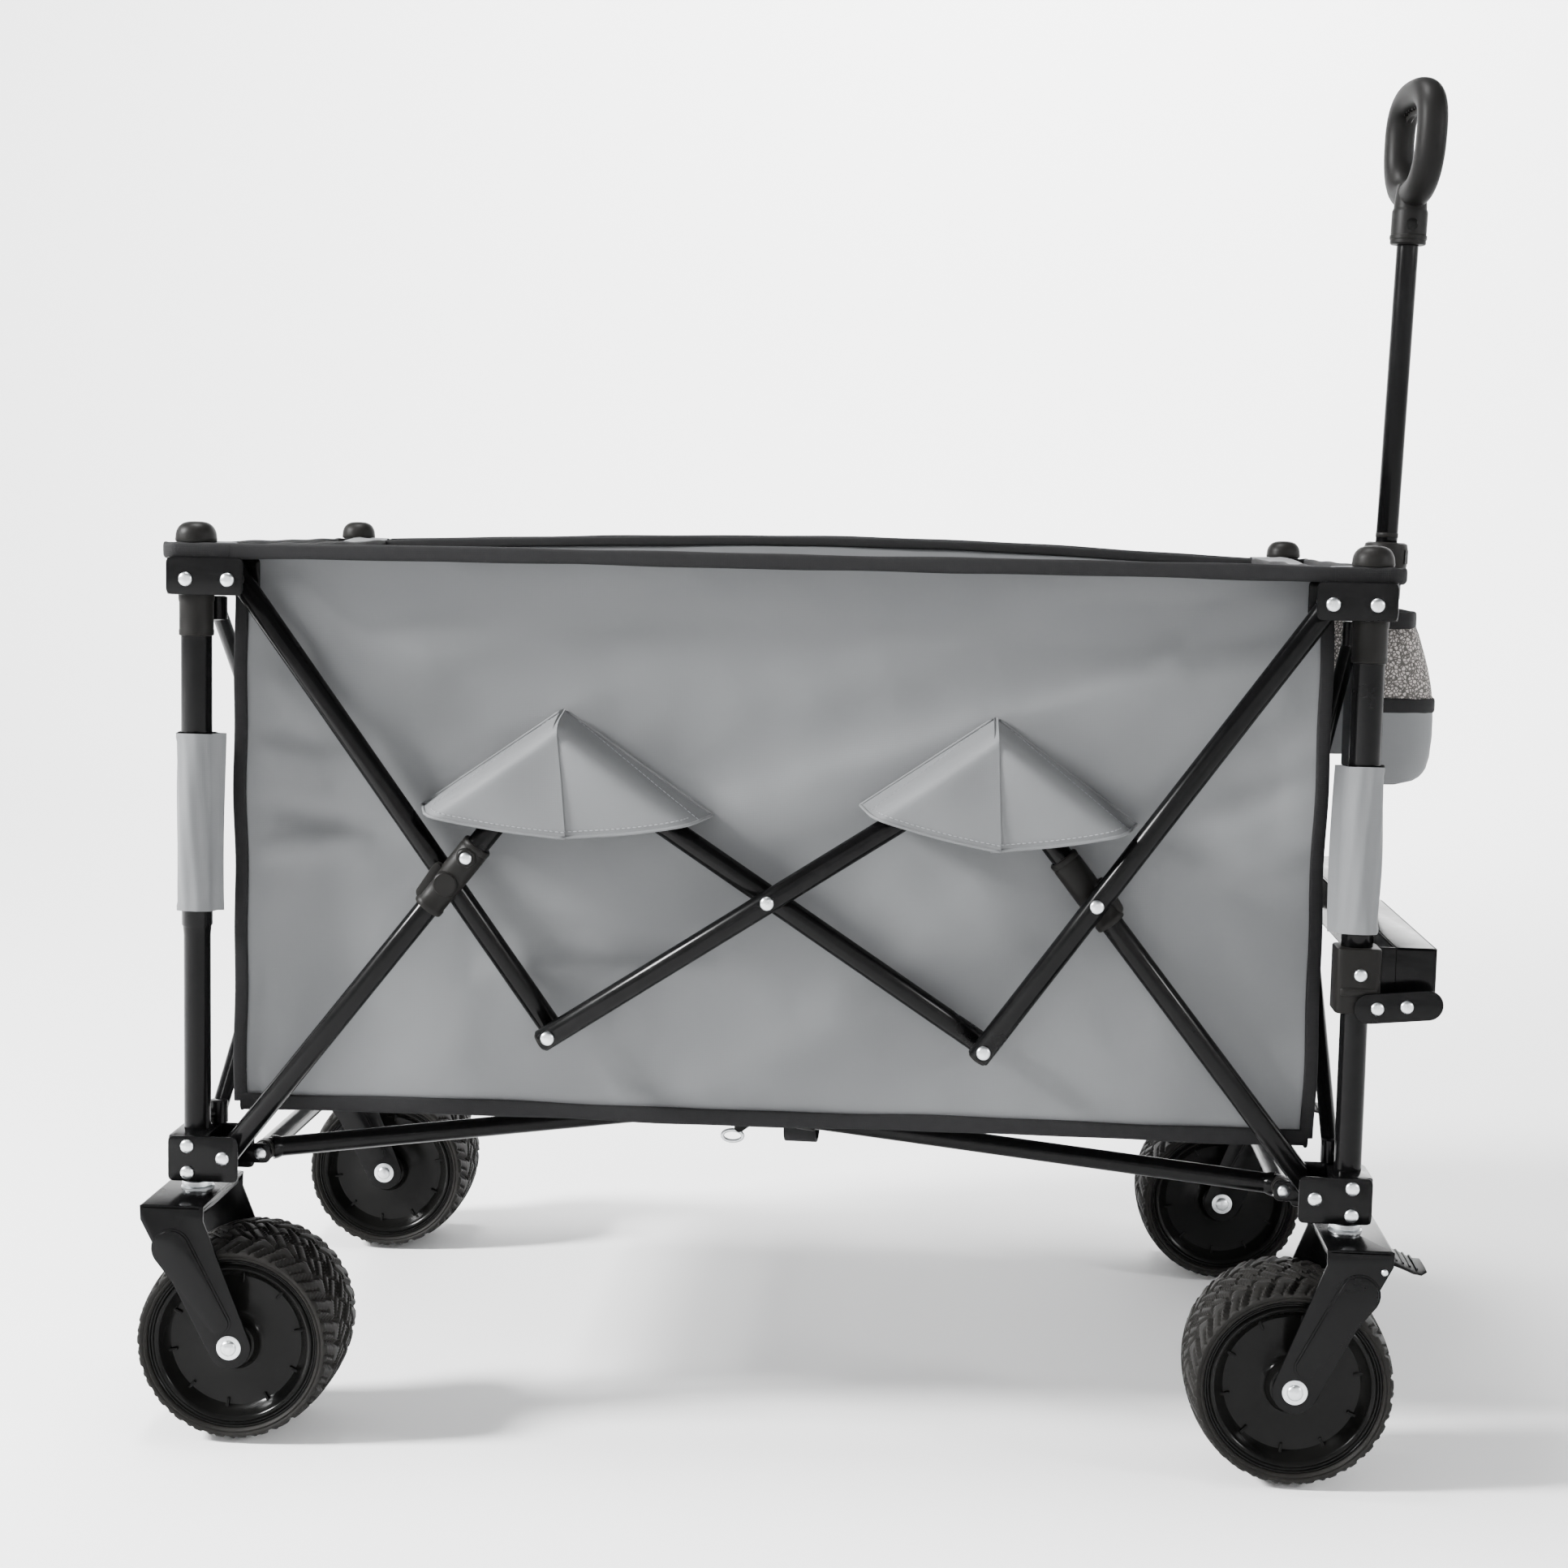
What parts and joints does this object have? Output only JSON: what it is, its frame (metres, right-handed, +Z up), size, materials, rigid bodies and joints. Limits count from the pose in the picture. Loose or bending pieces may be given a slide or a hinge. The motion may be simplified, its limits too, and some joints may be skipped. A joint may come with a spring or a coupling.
{
  "type": "folding wagon with pull handle",
  "caption": "Folding utility wagon: fabric basket on a scissor frame of round tubes, wide wheels on forks, telescopic pull handle that swings forwards.",
  "frame": {"origin": "on the ground, in the middle between the four corner posts", "axes": "+X to the pull-handle end, +Y to the far long side, +Z up"},
  "size_m": [1.0199, 0.671, 1.1057],
  "materials": {
    "post": "gloss black powder coat",
    "top_bracket": "gloss black powder coat",
    "bottom_bracket": "gloss black powder coat",
    "knob": "satin moulded plastic",
    "end_brace": "gloss black powder coat",
    "fork": "gloss black powder coat",
    "tyre": "matt rubber",
    "brake_pedal": "satin moulded plastic",
    "collar": "gloss moulded plastic",
    "bar": "gloss black powder coat",
    "floor_frame": "gloss black powder coat",
    "front_pocket": "woven polyester",
    "wheel": "gloss moulded plastic",
    "handle_crossbar": "gloss black powder coat",
    "handle_lower_tube": "gloss black powder coat",
    "handle_rod": "gloss black powder coat",
    "handle_grip": "satin moulded plastic",
    "basket": "woven polyester"
  },
  "bodies": {
    "rear_frame": {"post_rear_near": "post", "post_rear_far": "post", "top_bracket_rear_near": "top_bracket", "top_bracket_rear_far": "top_bracket", "knob_rear_near": "knob", "knob_rear_far": "knob", "bottom_bracket_rear_near": "bottom_bracket", "bottom_bracket_rear_far": "bottom_bracket", "fork_rear_near": "fork", "fork_rear_far": "fork", "end_brace_rear": "end_brace", "basket": "basket"},
    "front_frame": {"post_front_near": "post", "post_front_far": "post", "top_bracket_front_near": "top_bracket", "top_bracket_front_far": "top_bracket", "knob_front_near": "knob", "knob_front_far": "knob", "bottom_bracket_front_near": "bottom_bracket", "bottom_bracket_front_far": "bottom_bracket", "end_brace_front": "end_brace", "handle_crossbar": "handle_crossbar", "front_pocket_near": "front_pocket", "front_pocket_far": "front_pocket"},
    "bar_near_rear_high": {"bar_near_rear_high": "bar"},
    "bar_near_rear_low": {"bar_near_rear_low": "bar"},
    "bar_near_rear_middle_up": {"bar_near_rear_middle_up": "bar"},
    "bar_near_rear_middle_down": {"bar_near_rear_middle_down": "bar"},
    "bar_near_front_high": {"bar_near_front_high": "bar"},
    "bar_near_front_low": {"bar_near_front_low": "bar"},
    "collar_near_rear": {"collar_near_rear": "collar"},
    "collar_near_front": {"collar_near_front": "collar"},
    "bar_far_front_high": {"bar_far_front_high": "bar"},
    "bar_far_front_low": {"bar_far_front_low": "bar"},
    "bar_far_front_middle_up": {"bar_far_front_middle_up": "bar"},
    "bar_far_front_middle_down": {"bar_far_front_middle_down": "bar"},
    "bar_far_rear_high": {"bar_far_rear_high": "bar"},
    "bar_far_rear_low": {"bar_far_rear_low": "bar"},
    "collar_far_front": {"collar_far_front": "collar"},
    "collar_far_rear": {"collar_far_rear": "collar"},
    "floor_rear": {"floor_frame_rear": "floor_frame"},
    "floor_front": {"floor_frame_front": "floor_frame"},
    "wheel_rear_near_body": {"tyre_rear_near": "tyre", "wheel_rear_near": "wheel"},
    "wheel_rear_far_body": {"tyre_rear_far": "tyre", "wheel_rear_far": "wheel"},
    "caster_near": {"fork_front_near": "fork"},
    "wheel_front_near_body": {"tyre_front_near": "tyre", "wheel_front_near": "wheel"},
    "brake_front_near_body": {"brake_pedal_front_near": "brake_pedal"},
    "caster_far": {"fork_front_far": "fork"},
    "wheel_front_far_body": {"tyre_front_far": "tyre", "wheel_front_far": "wheel"},
    "brake_front_far_body": {"brake_pedal_front_far": "brake_pedal"},
    "handle_arm": {"handle_lower_tube": "handle_lower_tube"},
    "handle_slide_body": {"handle_rod": "handle_rod", "handle_grip": "handle_grip"}
  },
  "joints": [
    {"name": "fold", "type": "slide", "parent": "rear_frame", "child": "front_frame", "axis": [-1, 0, 0], "range_m": [0, 0.5721], "deforming": ["basket"]},
    {"name": "near_rear_high_pivot", "type": "hinge", "parent": "rear_frame", "child": "bar_near_rear_high", "pos_m": [-0.4175, -0.266, 0.672], "axis": [0, 1, 0], "range_deg": [0, 27.19]},
    {"name": "near_rear_low_pivot", "type": "hinge", "parent": "rear_frame", "child": "bar_near_rear_low", "pos_m": [-0.422, -0.289, 0.221], "axis": [0, 1, 0], "range_deg": [-28.7, 0]},
    {"name": "near_low_knee", "type": "hinge", "parent": "bar_near_rear_high", "child": "bar_near_rear_middle_up", "pos_m": [-0.16803, -0.289, 0.324], "axis": [0, 1, 0], "range_deg": [-64.1, 0]},
    {"name": "near_high_knee", "type": "hinge", "parent": "bar_near_rear_low", "child": "bar_near_rear_middle_down", "pos_m": [-0.16803, -0.266, 0.5445], "axis": [0, 1, 0], "range_deg": [0, 65.61]},
    {"name": "near_front_high_pivot", "type": "hinge", "parent": "front_frame", "child": "bar_near_front_high", "pos_m": [0.4175, -0.289, 0.672], "axis": [0, 1, 0], "range_deg": [-27.19, 0]},
    {"name": "near_front_low_pivot", "type": "hinge", "parent": "front_frame", "child": "bar_near_front_low", "pos_m": [0.422, -0.266, 0.221], "axis": [0, 1, 0], "range_deg": [0, 28.7]},
    {"name": "near_rear_collar_slide", "type": "slide", "parent": "bar_near_rear_low", "child": "collar_near_rear", "axis": [0.6175, 0, 0.7866], "range_m": [-0.0477, 0]},
    {"name": "near_front_collar_slide", "type": "slide", "parent": "bar_near_front_low", "child": "collar_near_front", "axis": [-0.6175, 0, 0.7866], "range_m": [-0.0477, 0]},
    {"name": "far_front_high_pivot", "type": "hinge", "parent": "front_frame", "child": "bar_far_front_high", "pos_m": [0.4175, 0.266, 0.672], "axis": [0, 1, 0], "range_deg": [-27.19, 0]},
    {"name": "far_front_low_pivot", "type": "hinge", "parent": "front_frame", "child": "bar_far_front_low", "pos_m": [0.422, 0.289, 0.221], "axis": [0, 1, 0], "range_deg": [0, 28.7]},
    {"name": "far_low_knee", "type": "hinge", "parent": "bar_far_front_high", "child": "bar_far_front_middle_up", "pos_m": [0.16803, 0.289, 0.324], "axis": [0, 1, 0], "range_deg": [0, 64.1]},
    {"name": "far_high_knee", "type": "hinge", "parent": "bar_far_front_low", "child": "bar_far_front_middle_down", "pos_m": [0.16803, 0.266, 0.5445], "axis": [0, 1, 0], "range_deg": [-65.61, 0]},
    {"name": "far_rear_high_pivot", "type": "hinge", "parent": "rear_frame", "child": "bar_far_rear_high", "pos_m": [-0.4175, 0.289, 0.672], "axis": [0, 1, 0], "range_deg": [0, 27.19]},
    {"name": "far_rear_low_pivot", "type": "hinge", "parent": "rear_frame", "child": "bar_far_rear_low", "pos_m": [-0.422, 0.266, 0.221], "axis": [0, 1, 0], "range_deg": [-28.7, 0]},
    {"name": "far_front_collar_slide", "type": "slide", "parent": "bar_far_front_low", "child": "collar_far_front", "axis": [-0.6175, 0, 0.7866], "range_m": [-0.0477, 0]},
    {"name": "far_rear_collar_slide", "type": "slide", "parent": "bar_far_rear_low", "child": "collar_far_rear", "axis": [0.6175, 0, 0.7866], "range_m": [-0.0477, 0]},
    {"name": "floor_rear_lift", "type": "hinge", "parent": "rear_frame", "child": "floor_rear", "pos_m": [-0.405, 0, 0.214], "axis": [0, 1, 0], "range_deg": [-71, 0]},
    {"name": "floor_front_lift", "type": "hinge", "parent": "front_frame", "child": "floor_front", "pos_m": [0.405, 0, 0.214], "axis": [0, 1, 0], "range_deg": [0, 71]},
    {"name": "wheel_rear_near_spin", "type": "hinge", "parent": "rear_frame", "child": "wheel_rear_near_body", "pos_m": [-0.409, -0.2735, 0.079], "axis": [0, 1, 0], "continuous": true},
    {"name": "wheel_rear_far_spin", "type": "hinge", "parent": "rear_frame", "child": "wheel_rear_far_body", "pos_m": [-0.409, 0.2735, 0.079], "axis": [0, 1, 0], "continuous": true},
    {"name": "caster_near_swivel", "type": "hinge", "parent": "front_frame", "child": "caster_near", "pos_m": [0.45, -0.2735, 0.2], "axis": [0, 0, 1], "continuous": true},
    {"name": "wheel_front_near_spin", "type": "hinge", "parent": "caster_near", "child": "wheel_front_near_body", "pos_m": [0.409, -0.2735, 0.079], "axis": [0, 1, 0], "continuous": true},
    {"name": "brake_front_near", "type": "hinge", "parent": "caster_near", "child": "brake_front_near_body", "pos_m": [0.472, -0.2735, 0.174], "axis": [0, 1, 0], "range_deg": [0, 20]},
    {"name": "caster_far_swivel", "type": "hinge", "parent": "front_frame", "child": "caster_far", "pos_m": [0.45, 0.2735, 0.2], "axis": [0, 0, 1], "continuous": true},
    {"name": "wheel_front_far_spin", "type": "hinge", "parent": "caster_far", "child": "wheel_front_far_body", "pos_m": [0.409, 0.2735, 0.079], "axis": [0, 1, 0], "continuous": true},
    {"name": "brake_front_far", "type": "hinge", "parent": "caster_far", "child": "brake_front_far_body", "pos_m": [0.472, 0.2735, 0.174], "axis": [0, 1, 0], "range_deg": [0, 20]},
    {"name": "handle_pivot", "type": "hinge", "parent": "front_frame", "child": "handle_arm", "pos_m": [0.494, 0, 0.392], "axis": [0, 1, 0], "range_deg": [0, 98]},
    {"name": "handle_extend", "type": "slide", "parent": "handle_arm", "child": "handle_slide_body", "axis": [0.0279, 0, 0.9996], "range_m": [-0.235, 0]}
  ],
  "couplings": [
    {"joint": "near_rear_high_pivot", "follows": "fold", "rad_per_m": 0.82783},
    {"joint": "near_rear_low_pivot", "follows": "fold", "rad_per_m": -0.87396},
    {"joint": "near_low_knee", "follows": "fold", "rad_per_m": -1.9539},
    {"joint": "near_high_knee", "follows": "fold", "rad_per_m": 2},
    {"joint": "near_front_high_pivot", "follows": "fold", "rad_per_m": -0.82783},
    {"joint": "near_front_low_pivot", "follows": "fold", "rad_per_m": 0.87396},
    {"joint": "near_rear_collar_slide", "follows": "fold", "ratio": -0.082494},
    {"joint": "near_front_collar_slide", "follows": "fold", "ratio": -0.082494},
    {"joint": "far_front_high_pivot", "follows": "fold", "rad_per_m": -0.82783},
    {"joint": "far_front_low_pivot", "follows": "fold", "rad_per_m": 0.87396},
    {"joint": "far_low_knee", "follows": "fold", "rad_per_m": 1.9539},
    {"joint": "far_high_knee", "follows": "fold", "rad_per_m": -2},
    {"joint": "far_rear_high_pivot", "follows": "fold", "rad_per_m": 0.82783},
    {"joint": "far_rear_low_pivot", "follows": "fold", "rad_per_m": -0.87396},
    {"joint": "far_front_collar_slide", "follows": "fold", "ratio": -0.082494},
    {"joint": "far_rear_collar_slide", "follows": "fold", "ratio": -0.082494},
    {"joint": "floor_rear_lift", "follows": "fold", "rad_per_m": -2.1645},
    {"joint": "floor_front_lift", "follows": "fold", "rad_per_m": 2.1645}
  ]
}
